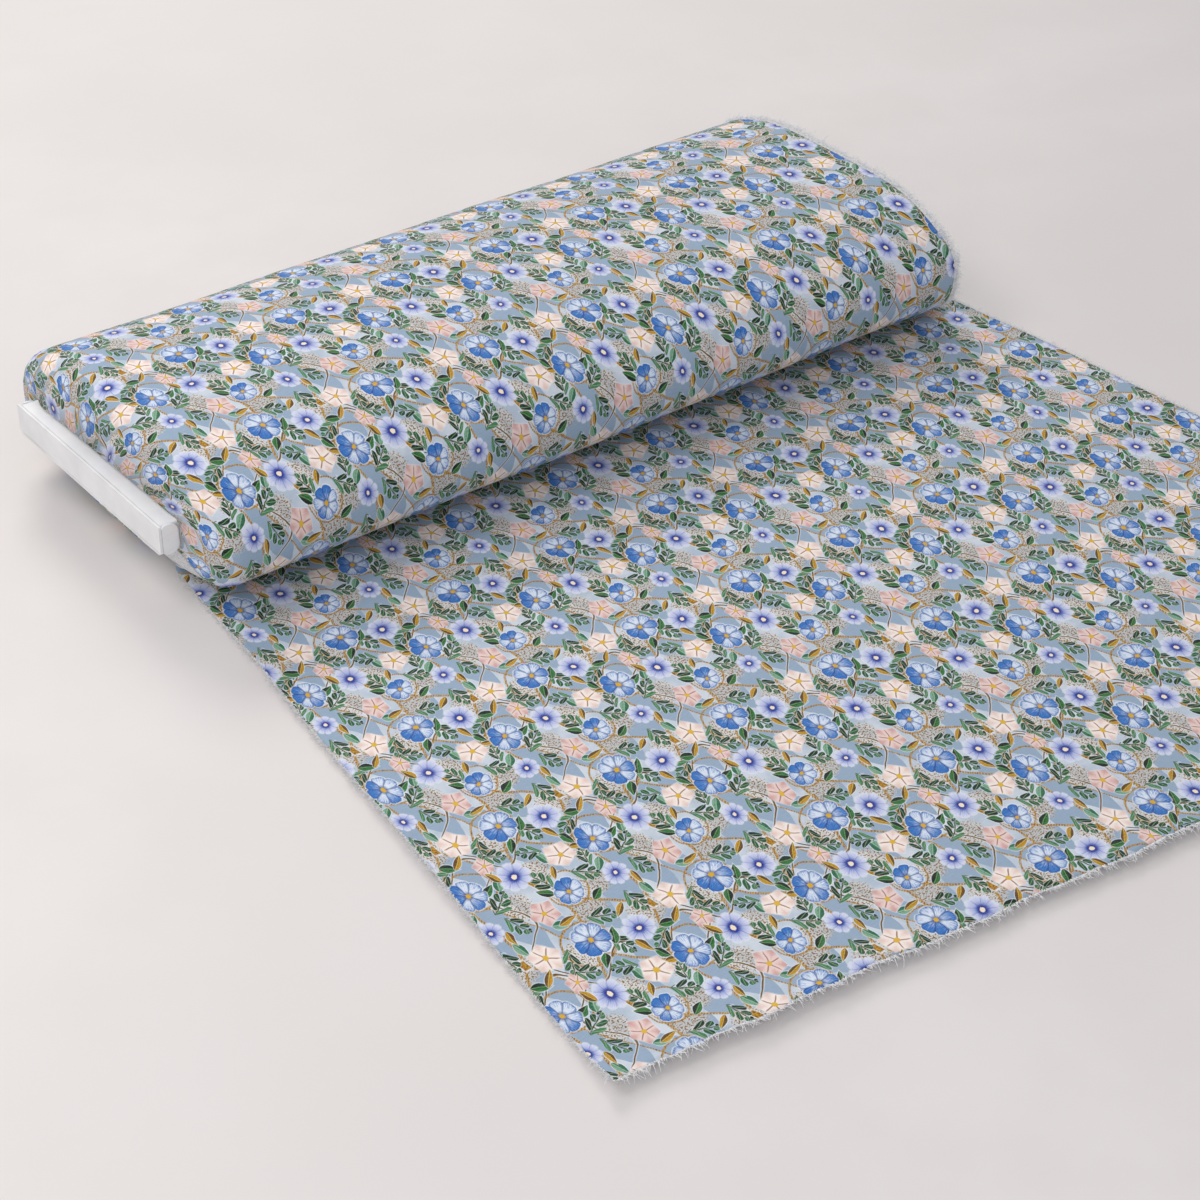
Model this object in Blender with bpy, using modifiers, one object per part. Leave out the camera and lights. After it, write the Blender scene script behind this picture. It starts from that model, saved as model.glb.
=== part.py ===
"""A bolt of printed cotton: cloth wound on a folded cardboard board, with a free length laid out in front.

Frame: X runs along the board, with -X at the near end, where the board stands out of the cloth. The free cloth
lies towards -Y, and +Z is up. The origin is on the floor, under the middle of the board.
Lengths are in metres, angles in degrees.
"""

from math import copysign, cos, pi, radians, sin, tan

import bmesh
import bpy
from mathutils import Matrix, Vector

# Clearance between neighbouring pieces
GAP = 0.0003

# Cloth
CLOTH_WIDTH = 0.556
PLY = 0.0012

# Wound cloth: an oval section at each end, joined by a straight loft
NEAR_HALF_WIDTH = 0.1220
NEAR_HALF_HEIGHT = 0.0450
NEAR_SHIFT = -0.0035
FAR_HALF_WIDTH = 0.1240
FAR_HALF_HEIGHT = 0.0440
FAR_SHIFT = 0.0070
OVAL_POWER = 2.5
OVAL_POINTS = 64
OVAL_STATIONS = 7

# Free cloth: its side edges swing outwards from the crease, and its hem is cut askew
CREASE_Y = -0.070
NEAR_EDGE_INSET = 0.009
FAR_EDGE_OUTSET = 0.038
NEAR_EDGE_SWING = 6.2
FAR_EDGE_SWING = 4.0
FREE_LENGTH_NEAR = 0.464
HEM_SKEW = 5.0

# Board
BOARD_LENGTH = 0.560
BOARD_WIDTH = 0.1665
BOARD_THICKNESS = 0.0192
BOARD_REACH = 0.0126
BOARD_HEIGHT = 0.0448
CARD = 0.0015
FOLD_RADIUS = 0.0010
FOLD_STEPS = 3

# End closures
TONGUE_LENGTH = 0.014
TONGUE_SIDE_ROOM = 0.0010
TAB_CORNER = 0.0055
TAB_ROOT_RELIEF = 0.0018
TAB_CLOTH_ROOM = 0.0005
ARC_STEPS = 8

# Ribs that stand on edge inside the board
RIB_COUNT = 3
RIB_THICKNESS = 0.004
RIB_END_ROOM = 0.025

WHITE_CARD = (0.86, 0.86, 0.87, 1.0)
KRAFT_CARD = (0.52, 0.38, 0.24, 1.0)
PRINTED_COTTON = (0.44, 0.52, 0.62, 1.0)

# Places worked out from the sizes above
CLOTH_NEAR_X = -CLOTH_WIDTH / 2
CLOTH_FAR_X = CLOTH_WIDTH / 2
BOARD_NEAR_X = CLOTH_NEAR_X - BOARD_REACH
BOARD_FAR_X = BOARD_NEAR_X + BOARD_LENGTH
BOARD_TOP = BOARD_HEIGHT + BOARD_THICKNESS / 2
BOARD_BOTTOM = BOARD_HEIGHT - BOARD_THICKNESS / 2
CLOSURE_HALF_WIDTH = BOARD_WIDTH / 2 + GAP + CARD
INSIDE_HALF_WIDTH = BOARD_WIDTH / 2 - CARD


def clear_scene():
    for old in list(bpy.data.objects):
        bpy.data.objects.remove(old, do_unlink=True)


def new_collection(name):
    made = bpy.data.collections.new(name)
    bpy.context.scene.collection.children.link(made)
    return made


def principled(name, colour, roughness):
    made = bpy.data.materials.new(name)
    made.use_nodes = True
    shader = made.node_tree.nodes["Principled BSDF"]
    shader.inputs["Base Color"].default_value = colour
    shader.inputs["Roughness"].default_value = roughness
    shader.inputs["Metallic"].default_value = 0.0
    return made


def add_mesh(name, form, collection, material=None):
    """Puts a bmesh into a named object and frees it."""
    mesh = bpy.data.meshes.new(name)
    form.to_mesh(mesh)
    form.free()
    made = bpy.data.objects.new(name, mesh)
    collection.objects.link(made)
    if material:
        mesh.materials.append(material)
    return made


def box(name, low, high, collection, material=None, edge=0.0):
    """A box between two corners, with its edges bevelled where edge is given."""
    low = Vector(low)
    high = Vector(high)
    size = high - low
    form = bmesh.new()
    bmesh.ops.create_cube(form, size=1.0)
    bmesh.ops.scale(form, vec=size, verts=form.verts)
    made = add_mesh(name, form, collection, material)
    made.location = (low + high) / 2
    if edge:
        bevel = made.modifiers.new("soft_edges", "BEVEL")
        bevel.width = edge
        bevel.segments = 2
    return made


def cut(target, cutter):
    cutter.hide_render = True
    cutter.display_type = "WIRE"
    boolean = target.modifiers.new(f"cut_{cutter.name}", "BOOLEAN")
    boolean.operation = "DIFFERENCE"
    boolean.solver = "EXACT"
    boolean.object = cutter


def oval(half_width, half_height):
    """(y, z) points round an oval that stands on z = 0 with a flat facet under its middle."""
    ring = []
    for index in range(OVAL_POINTS):
        turn = 2 * pi * (index + 0.5) / OVAL_POINTS
        across = copysign(abs(cos(turn)) ** (2 / OVAL_POWER), cos(turn))
        up = copysign(abs(sin(turn)) ** (2 / OVAL_POWER), sin(turn))
        ring.append((half_width * across, half_height * up))
    lowest = min(z for _, z in ring)
    return [(y, z - lowest) for y, z in ring]


def oval_clear_at(half_width, half_height, height):
    """How far from its middle the oval's underside has risen by this height."""
    share = 1 - (1 - height / half_height) ** OVAL_POWER
    return half_width * share ** (1 / OVAL_POWER)


def make_wound_cloth(collection, cutters, material):
    """The turns of cloth as one oval ring, lofted from the near section to the far one."""
    form = bmesh.new()
    near = oval(NEAR_HALF_WIDTH, NEAR_HALF_HEIGHT)
    far = oval(FAR_HALF_WIDTH, FAR_HALF_HEIGHT)
    rings = []
    for station in range(OVAL_STATIONS):
        along = station / (OVAL_STATIONS - 1)
        x = CLOTH_NEAR_X + along * CLOTH_WIDTH
        ring = []
        for (near_y, near_z), (far_y, far_z) in zip(near, far):
            y = (1 - along) * (near_y + NEAR_SHIFT) + along * (far_y + FAR_SHIFT)
            z = (1 - along) * near_z + along * far_z
            ring.append(form.verts.new((x, y, z)))
        rings.append(ring)
    for first, second in zip(rings, rings[1:]):
        for index in range(OVAL_POINTS):
            after = (index + 1) % OVAL_POINTS
            form.faces.new((first[index], first[after], second[after], second[index]))
    form.faces.new(rings[0])
    form.faces.new(rings[-1])
    bmesh.ops.recalc_face_normals(form, faces=form.faces)
    roll = add_mesh("wound_cloth", form, collection, material)
    tunnel = box(
        "tunnel_cutter",
        (
            CLOTH_NEAR_X - BOARD_REACH,
            -CLOSURE_HALF_WIDTH - GAP,
            BOARD_BOTTOM - GAP,
        ),
        (
            CLOTH_FAR_X + BOARD_REACH,
            CLOSURE_HALF_WIDTH + GAP,
            BOARD_TOP + GAP,
        ),
        cutters,
    )
    cut(roll, tunnel)
    roll.data.shade_smooth()
    roll.data.set_sharp_from_angle(angle=radians(35))
    return roll


def near_edge_x(y):
    """The free cloth's near side edge at this y."""
    return CLOTH_NEAR_X + NEAR_EDGE_INSET + (y - CREASE_Y) * tan(radians(NEAR_EDGE_SWING))


def far_edge_x(y):
    """The free cloth's far side edge at this y."""
    return CLOTH_FAR_X + FAR_EDGE_OUTSET - (y - CREASE_Y) * tan(radians(FAR_EDGE_SWING))


def free_cloth_outline():
    """Corners of the free cloth in plan: it starts where the roll's underside clears it."""
    height = PLY + 3 * GAP
    near_y = NEAR_SHIFT - oval_clear_at(NEAR_HALF_WIDTH, NEAR_HALF_HEIGHT, height)
    far_y = FAR_SHIFT - oval_clear_at(FAR_HALF_WIDTH, FAR_HALF_HEIGHT, height)
    hem_slope = tan(radians(HEM_SKEW))
    hem_near_y = CREASE_Y - FREE_LENGTH_NEAR * cos(radians(NEAR_EDGE_SWING))
    hem_near_x = near_edge_x(hem_near_y)
    # The hem runs on until it meets the far side edge.
    far_slope = tan(radians(FAR_EDGE_SWING))
    hem_run = (far_edge_x(hem_near_y) - hem_near_x) / (1 - far_slope * hem_slope)
    return [
        (near_edge_x(near_y), near_y),
        (hem_near_x, hem_near_y),
        (hem_near_x + hem_run, hem_near_y - hem_run * hem_slope),
        (far_edge_x(far_y), far_y),
    ]


def flat_outline(name, outline, thickness, collection, material):
    """A flat piece in its own XY plane, centred on z = 0."""
    curve = bpy.data.curves.new(name, "CURVE")
    curve.dimensions = "2D"
    curve.fill_mode = "BOTH"
    curve.extrude = thickness / 2
    spline = curve.splines.new("POLY")
    spline.points.add(len(outline) - 1)
    for point, (x, y) in zip(spline.points, outline):
        point.co = (x, y, 0, 1)
    spline.use_cyclic_u = True
    curve.materials.append(material)
    made = bpy.data.objects.new(name, curve)
    collection.objects.link(made)
    return made


def make_free_cloth(collection, material):
    sheet = flat_outline("free_cloth", free_cloth_outline(), PLY, collection, material)
    sheet.location.z = PLY / 2
    return sheet


def make_sleeve(collection, cutters, material):
    """The folded board: four walls in one, open at both ends, its floor reaching under the end panels."""
    form = bmesh.new()
    bmesh.ops.create_cube(form, size=1.0)
    bmesh.ops.scale(
        form,
        vec=(BOARD_LENGTH, BOARD_WIDTH, BOARD_THICKNESS),
        verts=form.verts,
    )
    lengthwise = [
        edge
        for edge in form.edges
        if abs((edge.verts[0].co - edge.verts[1].co).x) > BOARD_LENGTH / 2
    ]
    bmesh.ops.bevel(
        form,
        geom=lengthwise,
        offset=FOLD_RADIUS,
        segments=FOLD_STEPS,
        profile=0.5,
        affect="EDGES",
    )
    sleeve = add_mesh("board_sleeve", form, collection, material)
    sleeve.location = ((BOARD_NEAR_X + BOARD_FAR_X) / 2, 0, BOARD_HEIGHT)
    hollow = box(
        "hollow_cutter",
        (BOARD_NEAR_X - CARD, -INSIDE_HALF_WIDTH, BOARD_BOTTOM + CARD),
        (BOARD_FAR_X + CARD, INSIDE_HALF_WIDTH, BOARD_TOP - CARD),
        cutters,
    )
    cut(sleeve, hollow)
    setback = CARD + GAP
    for name, low_x, high_x in (
        ("near_notch_cutter", BOARD_NEAR_X - setback, BOARD_NEAR_X + setback),
        ("far_notch_cutter", BOARD_FAR_X - setback, BOARD_FAR_X + setback),
    ):
        notch = box(
            name,
            (low_x, -CLOSURE_HALF_WIDTH, BOARD_BOTTOM + CARD),
            (high_x, CLOSURE_HALF_WIDTH, BOARD_TOP + CARD),
            cutters,
        )
        cut(sleeve, notch)
    return sleeve


def make_ribs(collection, material):
    """Card strips on edge, which hold the board's faces apart under the wound cloth."""
    pitch = 2 * INSIDE_HALF_WIDTH / (RIB_COUNT + 1)
    near_x = BOARD_NEAR_X + CARD + RIB_END_ROOM
    far_x = BOARD_FAR_X - CARD - RIB_END_ROOM
    for index in range(RIB_COUNT):
        y = -INSIDE_HALF_WIDTH + (index + 1) * pitch
        box(
            f"inner_rib_{index + 1}",
            (near_x, y - RIB_THICKNESS / 2, BOARD_BOTTOM + CARD + GAP),
            (far_x, y + RIB_THICKNESS / 2, BOARD_TOP - CARD - GAP),
            collection,
            material,
        )


def tab_outline():
    """A side tab lying flat: x along the board from the fold, y up its side."""
    length = BOARD_REACH - CARD - GAP - TAB_CLOTH_ROOM
    half = BOARD_THICKNESS / 2
    corner = min(TAB_CORNER, 0.9 * half)
    outline = [(0, -half + TAB_ROOT_RELIEF), (TAB_ROOT_RELIEF, -half)]
    for side, start in ((-1, -90), (1, 0)):
        centre = Vector((length - corner, side * (half - corner)))
        for step in range(ARC_STEPS + 1):
            turn = radians(start + 90 * step / ARC_STEPS)
            outline.append(tuple(centre + corner * Vector((cos(turn), sin(turn)))))
    outline += [(TAB_ROOT_RELIEF, half), (0, half - TAB_ROOT_RELIEF)]
    return outline


def make_closure(end, collection, material):
    """An end panel with its tongue and two side tabs. end is "near" or "far"."""
    inward = 1 if end == "near" else -1
    face_x = BOARD_NEAR_X if end == "near" else BOARD_FAR_X

    def along(distance):
        return face_x + inward * distance

    def spanning(first, second):
        return min(along(first), along(second)), max(along(first), along(second))

    low_x, high_x = spanning(0, CARD)
    box(
        f"{end}_end_panel",
        (low_x, -CLOSURE_HALF_WIDTH, BOARD_BOTTOM + CARD + GAP),
        (high_x, CLOSURE_HALF_WIDTH, BOARD_TOP),
        collection,
        material,
    )
    low_x, high_x = spanning(CARD + GAP, CARD + GAP + TONGUE_LENGTH)
    box(
        f"{end}_tuck_tongue",
        (
            low_x,
            -INSIDE_HALF_WIDTH + TONGUE_SIDE_ROOM,
            BOARD_BOTTOM + CARD + GAP,
        ),
        (
            high_x,
            INSIDE_HALF_WIDTH - TONGUE_SIDE_ROOM,
            BOARD_BOTTOM + 2 * CARD + GAP,
        ),
        collection,
        material,
    )
    for name, side in (("front_tab", -1), ("rear_tab", 1)):
        tab = flat_outline(
            f"{end}_{name}", tab_outline(), CARD, collection, material
        )
        centre_y = side * (CLOSURE_HALF_WIDTH - CARD / 2)
        upright = Matrix(
            (
                (inward, 0, 0, along(CARD + GAP)),
                (0, 0, -inward, centre_y),
                (0, 1, 0, BOARD_HEIGHT),
                (0, 0, 0, 1),
            )
        )
        tab.matrix_world = upright


def main():
    clear_scene()
    parts = new_collection("fabric_bolt")
    cutters = new_collection("cutters")
    cotton = principled("printed_cotton", PRINTED_COTTON, 0.85)
    white = principled("white_card", WHITE_CARD, 0.60)
    kraft = principled("kraft_card", KRAFT_CARD, 0.80)
    make_wound_cloth(parts, cutters, cotton)
    make_free_cloth(parts, cotton)
    make_sleeve(parts, cutters, white)
    make_ribs(parts, kraft)
    make_closure("near", parts, white)
    make_closure("far", parts, white)


main()
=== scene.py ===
"""The looks of a fabric bolt: printed cotton wound on a white card board, its end laid out in front.

Metres, in the CAD model's frame: X along the board, the free cloth towards -Y, +Z up.
"""

from math import cos, pi, radians, sin, tan

import bpy
import numpy as np
from mathutils import Euler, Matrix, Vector


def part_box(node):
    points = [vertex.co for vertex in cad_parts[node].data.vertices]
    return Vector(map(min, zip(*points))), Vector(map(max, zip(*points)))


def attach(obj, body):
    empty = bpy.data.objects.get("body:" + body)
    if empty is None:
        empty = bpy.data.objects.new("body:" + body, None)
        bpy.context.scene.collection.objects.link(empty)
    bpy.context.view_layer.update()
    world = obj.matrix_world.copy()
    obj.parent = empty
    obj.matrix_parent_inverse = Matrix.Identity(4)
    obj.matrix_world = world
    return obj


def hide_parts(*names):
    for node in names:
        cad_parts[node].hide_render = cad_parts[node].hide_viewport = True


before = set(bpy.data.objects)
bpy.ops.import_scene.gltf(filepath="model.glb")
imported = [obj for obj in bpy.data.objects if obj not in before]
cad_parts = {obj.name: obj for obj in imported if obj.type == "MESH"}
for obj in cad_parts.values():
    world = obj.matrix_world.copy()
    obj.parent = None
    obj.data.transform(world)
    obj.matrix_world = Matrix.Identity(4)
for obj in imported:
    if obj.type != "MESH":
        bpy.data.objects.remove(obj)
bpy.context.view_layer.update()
ROLL_LOW, ROLL_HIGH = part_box("wound_cloth")
BOARD_LOW, BOARD_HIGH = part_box("board_sleeve")

# Camera
CAMERA_PLACE = (-0.842, -1.223, 0.853)
CAMERA_HEADING = -36.946
CAMERA_DIP = 34.294
CAMERA_LENS = 80.35
SENSOR = 36.0

# Oval sections of the roll, at its near and far ends: half width, half height, shift in Y
NEAR_OVAL = (0.1220, 0.0450, -0.0035)
FAR_OVAL = (0.1240, 0.0440, 0.0070)
OVAL_POWER = 2.5
ROLL_NEAR = ROLL_LOW[0]
ROLL_FAR = ROLL_HIGH[0]

# The snug outline round the board, which the innermost turn follows
SNUG_HALF_WIDTH = 0.0868
SNUG_HALF_HEIGHT = 0.0112
SNUG_POWER = 6.0
BOARD_CENTRE_Z = (BOARD_LOW[2] + BOARD_HIGH[2]) / 2

# The outer turn: its near margin rounds down to the board, and its path ends in the crease. Turns
# are in degrees round the roll, from the rear, over the top and down the front.
PLY = 0.0004
SHOULDER = 0.021
SHOULDER_POWER = 2.7
TOP_OVERHANG = 0.0006
TOP_SLANT = 0.0030
DENT = 0.0008
START_TURN = -100.0
FLARE_START_TURN = 207
LEAVE_DEPTH = 0.052
UNDERSIDE_SHARE = 0.93
FOLD_RADIUS = 0.0008
FLOOR_GAP = 0.0003
LOWEST = 0.0004

# Free cloth
CREASE_Y = -0.070
NEAR_EDGE_INSET = 0.009
FAR_EDGE_OUTSET = 0.038
NEAR_EDGE_SWING = 6.2
FAR_EDGE_SWING = 4.0
FREE_LENGTH = 0.471
HEM_SKEW = 5.0
HEM_LIFT = 0.0050
COLUMNS = 160
ROLL_ROWS = 150
SHEET_ROWS = 120

# Inner turns
TURNS = 52
TURN_POINTS = 96

# Print repeat, across and along the cloth, and how far its rows lean
REPEAT_ACROSS = 0.076
REPEAT_ALONG = 0.095
PRINT_LEAN = 8.0

rng = np.random.default_rng(7)


# ---------- shader graph helpers ----------


class Wire:
    """A node's output that can be used in Python arithmetic."""

    def __init__(self, graph, socket):
        self.graph = graph
        self.socket = socket

    def __add__(self, other):
        return self.graph.math("ADD", self, other)

    def __radd__(self, other):
        return self.graph.math("ADD", other, self)

    def __sub__(self, other):
        return self.graph.math("SUBTRACT", self, other)

    def __rsub__(self, other):
        return self.graph.math("SUBTRACT", other, self)

    def __mul__(self, other):
        return self.graph.math("MULTIPLY", self, other)

    def __rmul__(self, other):
        return self.graph.math("MULTIPLY", other, self)

    def __truediv__(self, other):
        return self.graph.math("DIVIDE", self, other)


class Graph:
    """Adds nodes to a material, each from plain numbers, colours or the wires of other nodes."""

    def __init__(self, name):
        self.material = bpy.data.materials.new(name)
        self.material.use_nodes = True
        self.tree = self.material.node_tree
        self.shader = self.tree.nodes["Principled BSDF"]
        self.output = self.tree.nodes["Material Output"]

    def put(self, socket, value):
        if isinstance(value, Wire):
            self.tree.links.new(value.socket, socket)
        elif value is not None:
            if socket.type == "RGBA" and len(value) == 3:
                value = (*value, 1.0)
            socket.default_value = value

    def node(self, kind, inputs=(), out=0, **settings):
        made = self.tree.nodes.new(kind)
        for key, value in settings.items():
            setattr(made, key, value)
        for key, value in dict(inputs).items():
            self.put(made.inputs[key], value)
        return Wire(self, made.outputs[out])

    def math(self, operation, first, second=None, third=None):
        inputs = {0: first}
        if second is not None:
            inputs[1] = second
        if third is not None:
            inputs[2] = third
        return self.node("ShaderNodeMath", inputs, operation=operation)

    def vector(self, operation, first, second=None, third=None, out=0):
        inputs = {0: first}
        if second is not None:
            inputs[1] = second
        if third is not None:
            inputs[2] = third
        return self.node("ShaderNodeVectorMath", inputs, out=out, operation=operation)

    def parts(self, vector):
        made = self.tree.nodes.new("ShaderNodeSeparateXYZ")
        self.put(made.inputs[0], vector)
        return [Wire(self, made.outputs[index]) for index in range(2)]

    def joined(self, x, y, z=0.0):
        return self.node("ShaderNodeCombineXYZ", {0: x, 1: y, 2: z})

    def smooth(self, value, low, high):
        """0 below low, 1 above high, and a smooth step between."""
        return self.node(
            "ShaderNodeMapRange",
            {"Value": value, "From Min": low, "From Max": high},
            interpolation_type="SMOOTHSTEP",
        )

    def blend(self, factor, first, second):
        return self.node(
            "ShaderNodeMix", {0: factor, 6: first, 7: second}, out=2, data_type="RGBA"
        )

    def choose(self, factor, first, second):
        return self.node(
            "ShaderNodeMix", {0: factor, 4: first, 5: second}, out=1, data_type="VECTOR"
        )

    def noise(self, vector, scale, detail=2.0, out=0, roughness=0.5):
        return self.node(
            "ShaderNodeTexNoise",
            {"Vector": vector, "Scale": scale, "Detail": detail, "Roughness": roughness},
            out=out,
        )

    def finish(self, roughness, sheen=0.0, bump=None, bump_strength=0.3, bump_distance=0.001):
        self.put(self.shader.inputs["Roughness"], roughness)
        self.shader.inputs["Specular IOR Level"].default_value = 0.25
        if sheen:
            self.shader.inputs["Sheen Weight"].default_value = sheen
            self.shader.inputs["Sheen Roughness"].default_value = 0.5
        if bump is not None:
            normal = self.node(
                "ShaderNodeBump",
                {"Strength": bump_strength, "Distance": bump_distance, "Height": bump},
            )
            self.put(self.shader.inputs["Normal"], normal)
        return self.material


def srgb(text):
    """A linear colour from the usual six hexadecimal digits."""
    values = [int(text[index : index + 2], 16) / 255 for index in (0, 2, 4)]
    return tuple(v / 12.92 if v <= 0.04045 else ((v + 0.055) / 1.055) ** 2.4 for v in values)


# ---------- the floral print ----------

# Places in the repeat: x and y from 0 to 1, size along, size across, turn in degrees
BLUE_FLOWERS = (
    (0.20, 0.22, 0.134, 0.126, 10),
    (0.70, 0.60, 0.130, 0.122, 75),
    (0.30, 0.86, 0.108, 0.100, 140),
)
PERIWINKLES = (
    (0.52, 0.30, 0.116, 0.108, 0),
    (0.05, 0.60, 0.120, 0.112, 40),
    (0.66, 0.90, 0.092, 0.086, 20),
)
PALE_STARS = (
    (0.86, 0.20, 0.118, 0.108, 25),
    (0.42, 0.60, 0.116, 0.106, 200),
)
PINK_STARS = ((0.06, 0.92, 0.112, 0.102, 70), (0.93, 0.43, 0.088, 0.080, 310))
SPRIGS = (
    (0.360, 0.350, 0.105, 0.076, 65),
    (0.610, 0.435, 0.100, 0.073, 150),
    (0.850, 0.730, 0.108, 0.076, 320),
    (0.190, 0.715, 0.104, 0.076, 240),
    (0.490, 0.800, 0.100, 0.071, 30),
    (0.375, 0.115, 0.104, 0.073, 20),
    (0.985, 0.300, 0.096, 0.068, 110),
    (0.035, 0.405, 0.090, 0.068, 30),
    (0.640, 0.130, 0.104, 0.073, 75),
    (0.850, 0.925, 0.100, 0.071, 60),
    (0.250, 0.490, 0.094, 0.066, 200),
    (0.560, 0.690, 0.084, 0.061, 280),
)
DARK_LEAVES = (
    (0.345, 0.265, 0.066, 0.031, 300),
    (0.715, 0.365, 0.072, 0.032, 15),
    (0.835, 0.620, 0.068, 0.032, 330),
    (0.155, 0.800, 0.066, 0.030, 215),
    (0.450, 0.960, 0.066, 0.030, 330),
    (0.185, 0.395, 0.066, 0.030, 120),
    (0.540, 0.520, 0.064, 0.030, 60),
)
SOFT_LEAVES = (
    (0.300, 0.560, 0.070, 0.033, 250),
    (0.760, 0.090, 0.070, 0.032, 70),
    (0.600, 0.790, 0.066, 0.031, 130),
    (0.925, 0.600, 0.066, 0.032, 290),
    (0.100, 0.050, 0.062, 0.030, 20),
)
GOLD_BUDS = (
    (0.475, 0.425, 0.070, 0.026, 60),
    (0.795, 0.330, 0.074, 0.024, 310),
    (0.565, 0.590, 0.060, 0.023, 20),
    (0.925, 0.540, 0.068, 0.024, 240),
    (0.160, 0.040, 0.072, 0.024, 350),
    (0.500, 0.130, 0.066, 0.024, 140),
    (0.760, 0.990, 0.062, 0.023, 85),
    (0.300, 0.700, 0.060, 0.023, 110),
)
RINGS = ((0.30, 0.84, 0.150, 0.144, 0), (0.74, 0.58, 0.175, 0.166, 0), (0.16, 0.24, 0.185, 0.172, 0))
LACE = (
    (0.655, 0.215, 0.15, 0.13, 0),
    (0.060, 0.300, 0.13, 0.13, 0),
    (0.560, 0.610, 0.10, 0.13, 0),
    (0.190, 0.640, 0.13, 0.11, 0),
    (0.480, 0.880, 0.13, 0.11, 0),
    (0.930, 0.810, 0.12, 0.12, 0),
    (0.330, 0.030, 0.14, 0.10, 0),
)


def nearest(g, place, motifs):
    """Local coordinates in the nearest motif, 1 at its rim, wrapped so that the repeat joins up."""
    best = None
    least = None
    for order, (x, y, along, across, turn) in enumerate(motifs):
        offset = g.vector("SUBTRACT", place, (x, y, 0))
        offset = g.vector("WRAP", offset, (0.5, 0.5, 0.5), (-0.5, -0.5, -0.5))
        local = g.node(
            "ShaderNodeMapping",
            {"Vector": offset, "Rotation": (0, 0, radians(turn)), "Scale": (along, across, 1)},
            vector_type="TEXTURE",
        )
        away = g.vector("LENGTH", local, out=1)
        if best is None:
            best, least = local, away
            continue
        closer = g.math("LESS_THAN", away, least)
        best = g.choose(closer, best, local)
        if order < len(motifs) - 1:
            least = g.math("MINIMUM", away, least)
    return best


def petals(g, local, count):
    """Radius, angle in petals, and distance from the petal's middle line, from 0 to 1."""
    x, y = g.parts(local)
    radius = g.vector("LENGTH", local, out=1)
    angle = g.math("ARCTAN2", y, x) * (count / (2 * pi))
    side = g.math("PINGPONG", angle, 0.5) * 2.0
    return radius, angle, side


def paint(g, under, mask, colour, halo=None):
    """Colour over what is under it, with a pale rim round it where halo is given."""
    if halo is not None:
        under = g.blend(halo, under, srgb("EEF1F6"))
    return g.blend(mask, under, colour)


def blue_flower(g, place, under, grain):
    local = nearest(g, place, BLUE_FLOWERS)
    radius, angle, side = petals(g, local, 7)
    notch = g.math("POWER", side, 5.0) * 0.16
    rim = radius + notch + (grain - 0.5) * 0.10
    petal = g.node("ShaderNodeTexWhiteNoise", {1: g.math("ROUND", angle)}, noise_dimensions="1D")
    streak = g.noise(g.joined(angle * 6.0, radius * 1.2), 3.0)
    depth = radius * 0.62 + (streak - 0.5) * 1.5 + (petal - 0.5) * 0.7 + 0.08
    body = g.blend(g.smooth(depth, 0.0, 0.75), srgb("DFE8F3"), srgb("467ABF"))
    body = g.blend(g.smooth(side, 0.62, 1.0) * 0.75, body, srgb("2C5596"))
    body = g.blend(g.smooth(radius, 0.42, 0.12) * 0.8, body, srgb("27488A"))
    body = g.blend(g.smooth(rim, 0.84, 0.98) * 0.55, body, srgb("3A68AC"))
    body = g.blend(g.smooth(radius + grain * 0.18, 0.27, 0.20), body, srgb("D8AE3E"))
    return paint(g, under, g.smooth(rim, 1.0, 0.95), body, g.smooth(rim, 1.07, 1.03) * 0.45)


def periwinkle(g, place, under, grain):
    local = nearest(g, place, PERIWINKLES)
    radius, angle, side = petals(g, local, 9)
    rim = radius + g.math("POWER", side, 3.0) * 0.17 + (grain - 0.5) * 0.14
    streak = g.noise(g.joined(angle * 5.0, radius), 3.0)
    body = g.blend(g.smooth(radius + (streak - 0.5) * 0.7, 0.25, 0.95), srgb("8E9CD2"), srgb("D8DCEE"))
    body = g.blend(g.smooth(side, 0.72, 1.0) * 0.45, body, srgb("6C78BA"))
    body = g.blend(g.smooth(radius + (streak - 0.5) * 0.5, 0.50, 0.20), body, srgb("2C3E92"))
    body = g.blend(g.smooth(radius + grain * 0.12, 0.25, 0.19), body, srgb("F5E6CC"))
    return paint(g, under, g.smooth(rim, 1.0, 0.93), body, g.smooth(rim, 1.07, 1.01) * 0.4)


def star_flower(g, place, under, grain, motifs, pale, shade, vein):
    local = nearest(g, place, motifs)
    radius, angle, side = petals(g, local, 5)
    swing = (1.0 - side) * (pi / 5)
    rim = radius * g.math("COSINE", (pi / 5) - swing) / cos(pi / 5) * 0.84 + (grain - 0.5) * 0.04
    across = radius * g.math("SINE", side * (pi / 5))
    body = g.blend(g.smooth(across + (grain - 0.5) * 0.3, 0.05, 0.5), pale, shade)
    line = g.smooth(across, 0.060, 0.018) * g.smooth(radius, 0.86, 0.60)
    body = g.blend(line * 0.85, body, vein)
    body = g.blend(g.smooth(radius + grain * 0.12, 0.28, 0.20), body, srgb("DDB64E"))
    return paint(g, under, g.smooth(rim, 0.86, 0.82), body, g.smooth(rim, 0.92, 0.88) * 0.35)


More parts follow.
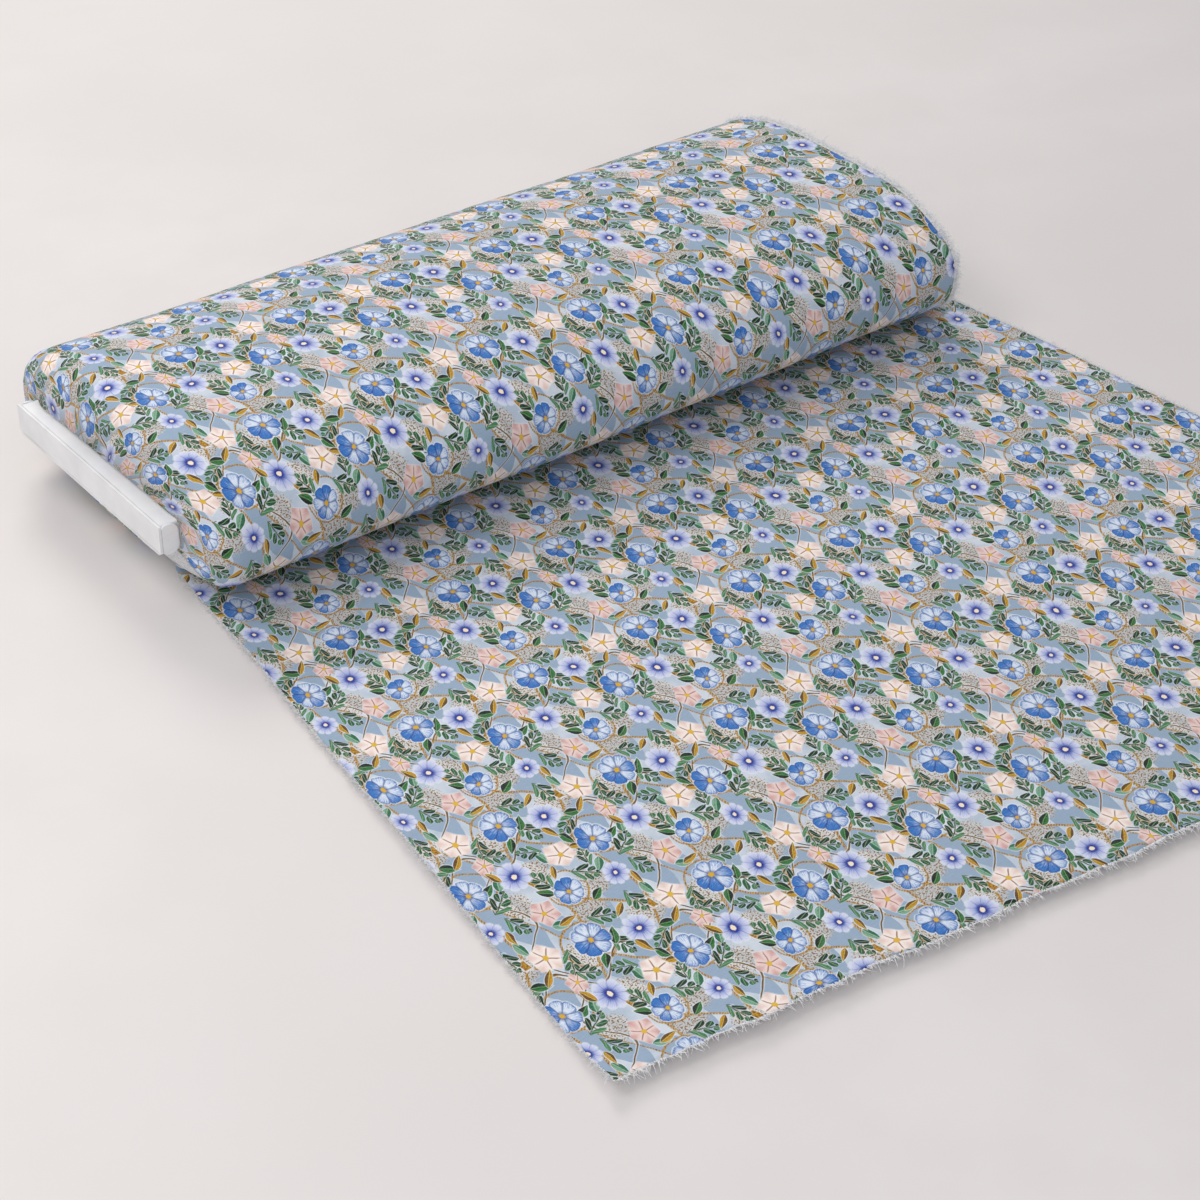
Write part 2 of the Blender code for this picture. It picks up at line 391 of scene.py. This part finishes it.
def leaves(g, place, under, grain, motifs, dark, light, rib):
    local = nearest(g, place, motifs)
    x, y = g.parts(local)
    width = (1.0 - x * x) * g.math("MAXIMUM", 1.0 - x * 0.4, 0.2)
    height = g.math("ABSOLUTE", y)
    rim = width - height + (grain - 0.5) * 0.2
    vein = g.math("SINE", x * 16.0 - height * 9.0)
    tone = g.smooth(y + (grain - 0.5) * 1.2 + vein * 0.12, -0.5, 0.7)
    body = g.blend(tone, dark, light)
    body = g.blend(g.smooth(height, 0.16, 0.06) * 0.6, body, rib)
    return paint(g, under, g.smooth(rim, 0.0, 0.10), body, g.smooth(rim, -0.24, -0.10) * 0.45)


def sprigs(g, place, under, grain, motifs):
    """Leafy sprays: pointed leaves in pairs along a thin stem, shorter towards its ends."""
    local = nearest(g, place, motifs)
    x, y = g.parts(local)
    height = g.math("ABSOLUTE", y)
    inside = 1.0 - x * x
    reach = height / g.math("MAXIMUM", inside, 0.05)
    along = x * 1.55 - height * 1.05 + g.math("SIGN", y) * 0.17
    across = g.math("ABSOLUTE", g.math("WRAP", along, 0.5, -0.5))
    rim = reach * (1.0 - reach) * 1.9 - across + (grain - 0.5) * 0.12
    leaf = g.node("ShaderNodeTexWhiteNoise", {0: g.joined(g.math("ROUND", along), g.math("SIGN", y))})
    body = g.blend(leaf * 0.75 + (grain - 0.5), srgb("0F3A2A"), srgb("6C9E74"))
    body = g.blend(g.smooth(across, 0.07, 0.02) * 0.5, body, srgb("A9C7A4"))
    kept = g.smooth(inside, 0.02, 0.10)
    stem = g.smooth(height, 0.085, 0.04) * kept
    under = g.blend(stem, under, srgb("4E5B2A"))
    return paint(g, under, g.smooth(rim, 0.0, 0.09) * kept, body, g.smooth(rim, -0.10, -0.04) * kept * 0.35)


def thin_line(g, distance, half_width):
    return g.smooth(g.math("ABSOLUTE", distance), half_width, half_width * 0.4)


def floral(g, cloth):
    """The print's colour at these cloth coordinates, in metres across and along."""
    place = g.node(
        "ShaderNodeMapping",
        {"Vector": cloth, "Scale": (REPEAT_ACROSS, REPEAT_ALONG, 1)},
        vector_type="TEXTURE",
    )
    grain = g.noise(cloth, 900.0, detail=3.0)
    wobble = g.noise(cloth, 60.0, out=1)
    warp = g.vector("SUBTRACT", wobble, (0.5, 0.5, 0.5))
    warp = g.vector("MULTIPLY", warp, (0.045, 0.045, 0))
    place = g.vector("ADD", place, warp)
    s, t = g.parts(place)
    # Two wavy families of the gold trellis, and the fields between them
    first = g.math("WRAP", t - g.math("SINE", s * (2 * pi)) * 0.07 - s - 0.05, 0.25, -0.25)
    second = g.math("WRAP", s - g.math("SINE", t * (2 * pi) + 1.2) * 0.06 - 0.17, 0.25, -0.25)
    field = g.math("MULTIPLY", first, second)
    wash = g.noise(cloth, 45.0, detail=3.0)
    ground = g.blend(g.smooth(wash, 0.3, 0.7), srgb("D3DAE2"), srgb("B3C1D0"))
    ground = g.blend(g.smooth(field, 0.0005, 0.002), ground, srgb("9BAEC2"))
    lace_spot = nearest(g, place, LACE)
    lace_reach = g.smooth(g.vector("LENGTH", lace_spot, out=1) + (grain - 0.5), 1.0, 0.7)
    speckle = g.smooth(g.noise(cloth, 950.0, detail=1.0), 0.53, 0.58)
    colour = g.blend(lace_reach * 0.55, ground, srgb("DCD3C6"))
    colour = g.blend(lace_reach * speckle, colour, srgb("8A6E42"))
    beads = g.smooth(g.math("SINE", (s + t) * 260.0), -0.7, 0.3) * 0.4 + 0.6
    gold = g.blend(g.smooth(grain, 0.3, 0.7), srgb("7A5810"), srgb("CFA03A"))
    trellis = g.math("MAXIMUM", thin_line(g, first, 0.015), thin_line(g, second, 0.015))
    colour = g.blend(trellis * beads, colour, gold)
    knot = g.math("ABSOLUTE", first) + g.math("ABSOLUTE", second)
    colour = paint(g, colour, g.smooth(knot, 0.052, 0.040), gold, g.smooth(knot, 0.075, 0.055) * 0.6)
    # Brown stems, and gold rings round the open flowers
    stem = g.math("WRAP", t - g.math("SINE", s * (4 * pi) + 0.6) * 0.10 - 0.42, 0.5, -0.5)
    branch = g.math("WRAP", s - g.math("SINE", t * (4 * pi) + 2.4) * 0.09 - 0.88, 0.5, -0.5)
    bark = g.blend(grain, srgb("4A3F1C"), srgb("94752F"))
    colour = paint(g, colour, thin_line(g, stem, 0.011), bark, thin_line(g, stem, 0.022) * 0.5)
    colour = paint(g, colour, thin_line(g, branch, 0.010), bark, thin_line(g, branch, 0.021) * 0.5)
    ring = g.vector("LENGTH", nearest(g, place, RINGS), out=1) - 0.94
    colour = paint(g, colour, thin_line(g, ring, 0.06) * beads, gold)
    colour = leaves(g, place, colour, grain, SOFT_LEAVES, srgb("3F7359"), srgb("86AE93"), srgb("B5CDB8"))
    colour = star_flower(
        g, place, colour, grain, PINK_STARS, srgb("EBD3CC"), srgb("D2A7A2"), srgb("9A6A66")
    )
    colour = sprigs(g, place, colour, grain, SPRIGS)
    colour = leaves(g, place, colour, grain, DARK_LEAVES, srgb("12372A"), srgb("4C7F4E"), srgb("86AC7C"))
    colour = star_flower(
        g, place, colour, grain, PALE_STARS, srgb("F7EBE3"), srgb("E6CCC2"), srgb("8E5F4C")
    )
    colour = periwinkle(g, place, colour, grain)
    colour = leaves(g, place, colour, grain, GOLD_BUDS, srgb("6E5512"), srgb("C79A2C"), srgb("E4CD7C"))
    colour = blue_flower(g, place, colour, grain)
    return colour, grain


def weave(g, cloth):
    """Height of a plain weave, a thread every third of a millimetre."""
    x, y = g.parts(cloth)
    warp = g.math("SINE", x * (2 * pi / 0.00066))
    weft = g.math("SINE", y * (2 * pi / 0.00066))
    return warp * weft


def cloth_coordinates(g):
    return g.node("ShaderNodeUVMap", uv_map="cloth")


def printed_cotton():
    g = Graph("printed_cotton_face")
    cloth = cloth_coordinates(g)
    colour, grain = floral(g, cloth)
    thread = weave(g, cloth)
    slub = g.noise(g.vector("MULTIPLY", cloth, (1.0, 7.0, 1.0)), 220.0, detail=2.0)
    colour = g.blend(g.smooth(thread * 0.5 + slub, 0.2, 1.0) * 0.16, colour, srgb("F4F4F2"))
    colour = g.node("ShaderNodeBrightContrast", {"Color": colour, "Bright": -0.015, "Contrast": 0.16})
    g.put(g.shader.inputs["Base Color"], colour)
    return g.finish(0.80 + grain * 0.12, sheen=0.10, bump=thread * 0.4 + slub, bump_strength=0.25,
                    bump_distance=0.0003)


def cotton_reverse():
    """The unprinted side: a paler, blotchy ground colour with light fibres."""
    g = Graph("cotton_reverse")
    cloth = cloth_coordinates(g)
    blotch = g.noise(cloth, 75.0, detail=4.0)
    tint = g.blend(g.smooth(blotch, 0.35, 0.65), srgb("EAECEE"), srgb("CBD4DF"))
    thread = weave(g, cloth)
    fibre = g.noise(cloth, 700.0, detail=3.0)
    colour = g.blend(fibre * 0.25, tint, srgb("FFFFFF"))
    g.put(g.shader.inputs["Base Color"], colour)
    return g.finish(0.88, sheen=0.1, bump=thread * 0.4 + fibre, bump_strength=0.25, bump_distance=0.0003)


def raw_edge():
    """Cut threads: near white, with some that kept the print's blue."""
    g = Graph("raw_cotton_edge")
    where = g.node("ShaderNodeTexCoord", out=3)
    fleck = g.noise(where, 900.0, detail=2.0)
    colour = g.blend(g.smooth(fleck, 0.48, 0.62), srgb("EFEDEA"), srgb("C7CFDA"))
    g.put(g.shader.inputs["Base Color"], colour)
    return g.finish(0.9, bump=fleck, bump_strength=0.4, bump_distance=0.0004)


def board_card():
    """White faced board: paper fibre, faint mottling, and painted shade with some scuffing along its folds
    and in its corners.
    """
    g = Graph("white_faced_card")
    where = g.node("ShaderNodeTexCoord", out=3)
    mottle = g.noise(where, 38.0, detail=4.0)
    fibre = g.noise(g.vector("MULTIPLY", where, (1.0, 5.0, 5.0)), 420.0, detail=3.0)
    colour = g.blend(g.smooth(mottle, 0.3, 0.75), srgb("F3F3F3"), srgb("E9E9EA"))
    colour = g.blend(g.smooth(fibre, 0.58, 0.75) * 0.35, colour, srgb("DAD8D5"))
    # Painted shade: the card darkens where the bevelled normal turns from the face, along folds and in the
    # corners between pieces, in patches that follow the mottling like scuffs.
    edge = g.node("ShaderNodeBevel", {"Radius": 0.0012}, samples=4)
    facing = g.node("ShaderNodeNewGeometry", out=1)
    turned = g.vector("DOT_PRODUCT", edge, facing, out=1)
    fold_shade_and_scuff = g.smooth(turned, 0.995, 0.93) * g.smooth(mottle, 0.42, 0.62)
    colour = g.blend(fold_shade_and_scuff * 0.5, colour, srgb("CFCBC5"))
    g.put(g.shader.inputs["Base Color"], colour)
    return g.finish(g.smooth(mottle, 0.0, 1.0) * 0.14 + 0.50, bump=fibre + mottle * 0.6,
                    bump_strength=0.18, bump_distance=0.0006)


def rib_card():
    """Brown kraft board: long fibres and darker specks."""
    g = Graph("brown_kraft_card")
    where = g.node("ShaderNodeTexCoord", out=3)
    fibre = g.noise(g.vector("MULTIPLY", where, (0.15, 1.0, 1.0)), 1300.0, detail=4.0)
    patch = g.noise(where, 30.0, detail=3.0)
    speck = g.smooth(g.noise(where, 1100.0), 0.66, 0.72)
    colour = g.blend(fibre, srgb("8F6B45"), srgb("B8925F"))
    colour = g.blend(g.smooth(patch, 0.35, 0.7) * 0.4, colour, srgb("C7A574"))
    colour = g.blend(speck * 0.6, colour, srgb("5C432B"))
    g.put(g.shader.inputs["Base Color"], colour)
    return g.finish(0.78, bump=fibre, bump_strength=0.3, bump_distance=0.0005)


# ---------- the roll's form ----------


def superellipse(turn, half_width, half_height, power):
    y = half_width * np.sign(np.cos(turn)) * np.abs(np.cos(turn)) ** (2 / power)
    z = half_height * np.sign(np.sin(turn)) * np.abs(np.sin(turn)) ** (2 / power)
    return y, z


def along_roll(x):
    return np.clip((x - ROLL_NEAR) / (ROLL_FAR - ROLL_NEAR), 0, 1)


def oval_at(x, turn):
    """(y, z) of the wound cloth's outside at this x and turn in radians."""
    share = along_roll(x)
    sizes = [(1 - share) * near + share * far for near, far in zip(NEAR_OVAL, FAR_OVAL)]
    y, z = superellipse(turn, sizes[0], sizes[1], OVAL_POWER)
    return y + sizes[2], z + sizes[1]


def share_of_outline(half_width, half_height, power):
    """Turns all round an outline, and the share of its length at which each comes."""
    turn = np.linspace(0, 2 * pi, 4001)
    y, z = superellipse(turn, half_width, half_height, power)
    run = np.concatenate([[0], np.cumsum(np.hypot(np.diff(y), np.diff(z)))])
    return turn, run / run[-1]


FINE_TURNS, OVAL_SHARES = share_of_outline(0.123, 0.0445, OVAL_POWER)
SNUG_SHARES = share_of_outline(SNUG_HALF_WIDTH, SNUG_HALF_HEIGHT, SNUG_POWER)[1]


def snug_at(turn):
    """(y, z) on the board's snug outline, as far round it as the turn is round the outside."""
    share = np.interp(np.mod(turn, 2 * pi), FINE_TURNS, OVAL_SHARES)
    matched = np.interp(share, SNUG_SHARES, FINE_TURNS)
    y, z = superellipse(matched, SNUG_HALF_WIDTH, SNUG_HALF_HEIGHT, SNUG_POWER)
    return y, z + BOARD_CENTRE_Z


def winding_at(x, turn, share):
    """(y, z) on the turn of cloth that lies this share of the way from the board to the outside."""
    inner_y, inner_z = snug_at(turn)
    outer_y, outer_z = oval_at(x, turn)
    return inner_y + share * (outer_y - inner_y), inner_z + share * (outer_z - inner_z)


def smoothstep(value, low, high):
    part = np.clip((value - low) / (high - low), 0, 1)
    return part * part * (3 - 2 * part)


def near_slant_at(turn):
    """How far the outer turn's near edge comes over the board's top: further towards the rear."""
    overhang = TOP_OVERHANG + TOP_SLANT * (0.5 + 0.5 * np.cos(turn))
    return smoothstep(np.sin(turn), 0.25, 0.6) * overhang


def free_near_x(y):
    return ROLL_NEAR + NEAR_EDGE_INSET + (y - CREASE_Y) * tan(radians(NEAR_EDGE_SWING))


def free_far_x(y):
    return ROLL_FAR + FAR_EDGE_OUTSET - (y - CREASE_Y) * tan(radians(FAR_EDGE_SWING))


def leave_turn(x):
    """The turn, in radians, where the cloth leaves the roll's underside for the floor."""
    share = along_roll(x)
    half_width = (1 - share) * NEAR_OVAL[0] + share * FAR_OVAL[0]
    return pi + np.arccos((LEAVE_DEPTH / half_width) ** (OVAL_POWER / 2))


def soft_dents(x, turn):
    """Small slow unevenness of a hand-wound roll, in metres outwards."""
    wave = 0.45 * np.sin(17 * x + 2.1 * turn) + 0.35 * np.sin(41 * x - 3 * turn + 1.0)
    return DENT * (1 + wave + 0.2 * np.sin(5 * turn + 9 * x))


def even_turns(start, end, count):
    """Turns from start to end whose points lie at about even spacing round a middling oval."""
    fine = np.linspace(start, end, 4000)
    y, z = superellipse(fine, 0.123, 0.0445, OVAL_POWER)
    run = np.concatenate([[0], np.cumsum(np.hypot(np.diff(y), np.diff(z)))])
    return np.interp(np.linspace(0, run[-1], count), run, fine)


def outer_turn_rows(columns):
    """Points of the outer turn: rows round the roll, columns across the cloth."""
    rows = []
    turns = even_turns(radians(START_TURN), float(leave_turn(0.0)), ROLL_ROWS)
    last = turns[-1]
    for turn in turns:
        # Below the roll's front the cloth's edges swing out to those of the free cloth.
        leaving = smoothstep(turn, radians(FLARE_START_TURN), last)
        near_x = (1 - leaving) * ROLL_NEAR + leaving * free_near_x(-LEAVE_DEPTH)
        far_x = (1 - leaving) * (ROLL_FAR + 0.0010 * sin(7 * turn)) + leaving * free_far_x(-LEAVE_DEPTH)
        x = near_x + columns * (far_x - near_x)
        local_turn = turn + (leave_turn(x) - last) * smoothstep(turn, pi, last)
        distance = np.clip((x - near_x) / SHOULDER, 0, 1)
        share = (1 - (1 - distance) ** SHOULDER_POWER) ** (1 / SHOULDER_POWER)
        share = np.maximum(share, leaving * UNDERSIDE_SHARE)
        x = x - near_slant_at(turn) * (1 - share)
        # The turn starts one ply in, where it runs under its own end.
        tucked = 1 - 0.014 * (1 - smoothstep(turn, radians(START_TURN), radians(-55)))
        y, z = winding_at(x, local_turn, share * tucked)
        swell = soft_dents(x, turn) * share * (1 - leaving) * smoothstep(turn, radians(-50), 0)
        y = y + swell * np.cos(turn)
        z = z + swell * np.sin(turn)
        rows.append(np.stack([x, y, np.maximum(z, LOWEST)], axis=-1))
    return rows


def hem_y(x):
    near_y = CREASE_Y - FREE_LENGTH * cos(radians(NEAR_EDGE_SWING))
    waver = 0.0007 * np.sin(61 * x) + 0.0005 * np.sin(143 * x + 1.0) + 0.0003 * np.sin(420 * x)
    return near_y - (x - free_near_x(near_y)) * tan(radians(HEM_SKEW)) + waver


def free_rows(columns, last):
    """Points of the fold under the roll and of the free cloth down to the hem."""
    rows = []
    top = last[:, 2]
    low = PLY + FLOOR_GAP
    middle = (top + low) / 2
    reach = (top - low) / 2
    for angle in np.linspace(60, -90, 6):
        bend = radians(angle)
        y = last[:, 1] + FOLD_RADIUS * np.cos(bend)
        z = middle + reach * np.sin(bend)
        rows.append(np.stack([last[:, 0], y, z], axis=-1))
    start = last[:, 1]
    for index in range(1, SHEET_ROWS + 1):
        share = index / SHEET_ROWS
        x = last[:, 0].copy()
        y = start.copy()
        for _ in range(4):
            y = start + share * (hem_y(x) - start)
            x = free_near_x(y) + columns * (free_far_x(y) - free_near_x(y))
        from_hem = (1 - share) * 0.5
        from_near = columns * 0.6
        from_roll = share * 0.5
        calm = smoothstep(from_roll, 0.03, 0.12)
        wave = 0.0007 * (1 + np.sin(11 * x + 7 * y)) + 0.0005 * (1 + np.sin(23 * y - 9 * x + 1.0))
        corner = np.exp(-((from_near / 0.16) ** 2))
        uneven = 0.55 + 0.45 * corner + 0.15 * np.sin(19 * x)
        lift = HEM_LIFT * np.exp(-((from_hem / 0.022) ** 1.5)) * uneven
        curl = 0.0016 * np.exp(-from_near / 0.006) * (1 + 0.6 * np.sin(31 * y))
        z = low + calm * (wave + lift + curl)
        rows.append(np.stack([x, y, z], axis=-1))
    return rows


def grid_mesh(name, points, coordinates):
    """A mesh of quads from rows of points, with the cloth coordinates as its UV map."""
    height, width, _ = points.shape
    index = np.arange(height * width).reshape(height, width)
    quads = np.stack([index[:-1, :-1], index[1:, :-1], index[1:, 1:], index[:-1, 1:]], axis=-1)
    quads = quads.reshape(-1, 4)
    mesh = bpy.data.meshes.new(name)
    mesh.vertices.add(height * width)
    mesh.vertices.foreach_set("co", points.reshape(-1).astype(np.float32))
    mesh.loops.add(quads.size)
    mesh.loops.foreach_set("vertex_index", quads.reshape(-1).astype(np.int32))
    mesh.polygons.add(len(quads))
    mesh.polygons.foreach_set("loop_start", np.arange(0, quads.size, 4, dtype=np.int32))
    mesh.update(calc_edges=True)
    layer = mesh.uv_layers.new(name="cloth")
    flat = coordinates.reshape(-1, 2)[quads.reshape(-1)]
    layer.data.foreach_set("uv", flat.reshape(-1).astype(np.float32))
    mesh.shade_smooth()
    made = bpy.data.objects.new(name, mesh)
    bpy.context.scene.collection.objects.link(made)
    return made


def thicken(piece, materials, thickness, offset):
    """Gives a sheet its thickness, with its own material on the reverse and on the cut edge."""
    for material in materials:
        piece.data.materials.append(material)
    solid = piece.modifiers.new("ply", "SOLIDIFY")
    solid.thickness = thickness
    solid.offset = offset
    solid.use_even_offset = False
    solid.material_offset = 1
    solid.material_offset_rim = 2
    return solid


def print_coordinates(points, roll_rows):
    """Cloth coordinates in metres, across and along from the crease.

    The print's rows run straight round the roll, and lean on the free cloth.
    """
    steps = np.linalg.norm(np.diff(points, axis=0)[:, :, 1:], axis=-1)
    run = np.concatenate([np.zeros((1, points.shape[1])), np.cumsum(steps, axis=0)])
    # The middle column's length keeps each row of the print straight across the roll.
    middle = run[:, points.shape[1] // 2][:, None] - run[roll_rows, points.shape[1] // 2]
    along = np.repeat(middle, points.shape[1], axis=1)
    crease_y = points[roll_rows, :, 1]
    ahead = np.maximum(crease_y[None, :] - points[:, :, 1], 0)
    on_floor = np.arange(len(points))[:, None] > roll_rows
    along = np.where(on_floor, ahead / cos(radians(PRINT_LEAN)), along)
    steps = np.linalg.norm(np.diff(points, axis=1), axis=-1)
    run = np.concatenate([np.zeros((len(points), 1)), np.cumsum(steps, axis=1)], axis=1)
    middle = points.shape[1] // 2
    across = points[:, middle, 0][:, None] + run - run[:, middle][:, None]
    across = across + np.where(on_floor, ahead * tan(radians(PRINT_LEAN)), 0)
    return np.stack([across, along], axis=-1)


def make_cloth(materials):
    columns = np.linspace(0, 1, COLUMNS)
    # Closer columns at the near margin, where the cloth rounds down to the board
    columns = columns - 0.6 * np.sin(pi * columns) * (1 - columns) ** 3 * columns * 2
    rows = outer_turn_rows(columns)
    roll_rows = len(rows)
    rows += free_rows(columns, rows[-1])
    points = np.stack(rows)
    piece = grid_mesh("cloth_length", points, print_coordinates(points, roll_rows + 5))
    thicken(piece, materials, PLY, -1.0)
    return piece, points, roll_rows


def make_inner_turns(material_face, material_edge):
    """The turns under the outer one, as one spiral ribbon whose far edges lie unevenly."""
    count = TURNS * TURN_POINTS
    turn = np.linspace(0, TURNS * 2 * pi, count) + radians(START_TURN)
    share = np.linspace(0.012, 0.975, count)
    jitter = np.repeat(rng.normal(0, 0.0005, TURNS), TURN_POINTS)
    jitter = np.convolve(jitter, np.ones(25) / 25, "same") + 0.0004 * np.sin(turn * 0.37)
    near = ROLL_NEAR + SHOULDER * (1 - (1 - share**SHOULDER_POWER) ** (1 / SHOULDER_POWER)) + 0.0035
    far = ROLL_FAR - 0.0018 + jitter
    rows = []
    for part in (0.0, 0.97, 1.0):
        x = near + part * (far - near)
        y, z = winding_at(x, turn, share)
        rows.append(np.stack([x, y, z], axis=-1))
    points = np.stack(rows)
    run = np.concatenate([[0], np.cumsum(np.linalg.norm(np.diff(points[1], axis=0)[:, 1:], axis=-1))])
    coordinates = np.stack([points[:, :, 0], np.repeat(run[None], 3, axis=0)], axis=-1)
    piece = grid_mesh("inner_turns", points, coordinates)
    thicken(piece, (material_face, material_face, material_edge), PLY * 0.95, 0.0)
    return piece, float(run[-1])


def make_fray(name, starts, directions, lengths, thickness, material):
    """Loose thread ends: thin three-sided tapering strands, each with a small bend."""
    vertices = []
    faces = []
    for start, direction, length in zip(starts, directions, lengths):
        sideways = np.cross(direction, (0, 0, 1.0))
        sideways = sideways / (np.linalg.norm(sideways) + 1e-9)
        upward = np.cross(sideways, direction)
        bend = rng.normal(0, 0.28, 2)
        base = len(vertices)
        for step in range(4):
            share = step / 3
            centre = start + direction * length * share
            centre = centre + (sideways * bend[0] + upward * bend[1]) * length * share**2
            centre[2] = max(centre[2], 0.0003)
            width = thickness * (1 - 0.7 * share)
            for corner in range(3):
                spin = 2 * pi * corner / 3
                vertices.append(centre + width * (cos(spin) * sideways + sin(spin) * upward))
        for step in range(3):
            for corner in range(3):
                after = (corner + 1) % 3
                low = base + 3 * step
                faces.append((low + corner, low + after, low + 3 + after, low + 3 + corner))
        faces.append((base + 2, base + 1, base))
        faces.append((base + 9, base + 10, base + 11))
    mesh = bpy.data.meshes.new(name)
    mesh.from_pydata([tuple(v) for v in vertices], [], faces)
    mesh.materials.append(material)
    piece = bpy.data.objects.new(name, mesh)
    bpy.context.scene.collection.objects.link(piece)
    return piece


def fray_along(line, outward, count, longest, spread):
    """Starts, directions and lengths of threads scattered along an edge line."""
    run = np.concatenate([[0], np.cumsum(np.linalg.norm(np.diff(line, axis=0), axis=1))])
    where = rng.uniform(0, run[-1], count)
    starts = np.stack([np.interp(where, run, line[:, axis]) for axis in range(3)], axis=1)
    aims = np.stack([np.interp(where, run, outward[:, axis]) for axis in range(3)], axis=1)
    aims = aims + rng.normal(0, spread, aims.shape)
    aims /= np.linalg.norm(aims, axis=1)[:, None]
    lengths = longest * rng.beta(1.6, 3.0, count)
    return starts - aims * 0.0006, aims, lengths


def edge_frays(points, roll_rows, material):
    """Fringes along the near and far edges of the outer turn and the free cloth, and along the hem."""
    made = []
    fold = roll_rows + 6
    near_line = points[fold:, 0]
    far_line = points[fold:, -1]
    plans = (
        ("fray_near_edge", near_line, (-1.0, 0, 0.05), 1700, 0.0060, 0.00025, 0.40),
        ("fray_far_edge", far_line, (1.0, 0, 0.05), 1700, 0.0060, 0.00025, 0.40),
        ("fray_hem", points[-1], (0, -1.0, 0.0), 2200, 0.0074, 0.00026, 0.45),
        ("fray_roll_far", points[20:roll_rows, -1], (1.0, 0, 0), 6500, 0.0100, 0.00026, 0.26),
        ("fray_roll_near", points[20 : roll_rows - 4, 0], (-1.0, 0, 0.0), 1000, 0.0020, 0.00018, 0.30),
    )
    for name, line, aim, count, longest, thickness, spread in plans:
        outward = np.tile(np.array(aim), (len(line), 1))
        starts, aims, lengths = fray_along(line, outward, count, longest, spread)
        made.append(make_fray(name, starts, aims, lengths, thickness, material))
    return made


# ---------- the stage ----------


def make_floor():
    g = Graph("floor_paper")
    where = g.node("ShaderNodeTexCoord", out=3)
    cloud = g.noise(where, 1.6, detail=3.0)
    stain = g.noise(where, 14.0, detail=3.0)
    colour = g.blend(g.smooth(cloud, 0.3, 0.7), srgb("EBE6E3"), srgb("E2DDDA"))
    colour = g.blend(g.smooth(stain, 0.35, 0.7) * 0.5, colour, srgb("E4DEDB"))
    g.put(g.shader.inputs["Base Color"], colour)
    g.finish(0.9)
    mesh = bpy.data.meshes.new("floor")
    side = 6.0
    corners = [(-side, -side, 0), (side, -side, 0), (side, side, 0), (-side, side, 0)]
    mesh.from_pydata(corners, [], [(0, 1, 2, 3)])
    mesh.materials.append(g.material)
    floor = bpy.data.objects.new("floor", mesh)
    floor.location.z = -0.0002
    bpy.context.scene.collection.objects.link(floor)


def area_light(name, place, target, size, power, colour):
    data = bpy.data.lights.new(name, "AREA")
    data.shape = "DISK"
    data.size = size
    data.energy = power
    data.color = colour
    light = bpy.data.objects.new(name, data)
    light.location = place
    aim = np.array(target) - np.array(place)
    light.rotation_euler = Vector(aim).to_track_quat("-Z", "Y").to_euler()
    bpy.context.scene.collection.objects.link(light)


def make_stage():
    make_floor()
    world = bpy.data.worlds.new("studio")
    world.use_nodes = True
    world.node_tree.nodes["Background"].inputs[0].default_value = (0.93, 0.95, 1.0, 1.0)
    world.node_tree.nodes["Background"].inputs[1].default_value = 0.46
    bpy.context.scene.world = world
    area_light("key", (0.55, 1.8, 1.6), (0, 0, 0), 1.0, 24, (1.0, 0.97, 0.94))
    area_light("fill", (-1.4, -1.5, 1.25), (-0.1, -0.15, 0), 1.4, 12, (0.99, 0.98, 1.0))
    area_light("over", (-0.85, 0.1, 1.25), (-0.85, 0.1, 0), 0.8, 6.0, (1.0, 0.97, 0.95))


def make_camera():
    bpy.context.scene.view_settings.view_transform = "Standard"
    data = bpy.data.cameras.new("camera")
    data.sensor_width = SENSOR
    data.lens = CAMERA_LENS
    camera = bpy.data.objects.new("camera", data)
    camera.location = CAMERA_PLACE
    camera.rotation_euler = Euler((radians(90 - CAMERA_DIP), 0, radians(CAMERA_HEADING)))
    bpy.context.scene.collection.objects.link(camera)
    bpy.context.scene.camera = camera


def dress_board(card, kraft):
    """Card materials on the CAD's own board pieces."""
    for name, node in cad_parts.items():
        if name in ("wound_cloth", "free_cloth"):
            continue
        finish = kraft if name.startswith("inner_rib") else card
        if not node.data.materials:
            node.data.materials.append(finish)
        for slot in node.material_slots:
            slot.material = finish


def main():
    make_camera()
    make_stage()
    face = printed_cotton()
    reverse = cotton_reverse()
    edge = raw_edge()
    cloth, points, roll_rows = make_cloth((face, reverse, edge))
    inner, wound_length = make_inner_turns(reverse, edge)
    frays = edge_frays(points, roll_rows, edge)
    for piece in (cloth, inner, *frays):
        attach(piece, "cloth")
    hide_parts("wound_cloth")
    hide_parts("free_cloth")
    dress_board(board_card(), rib_card())


main()
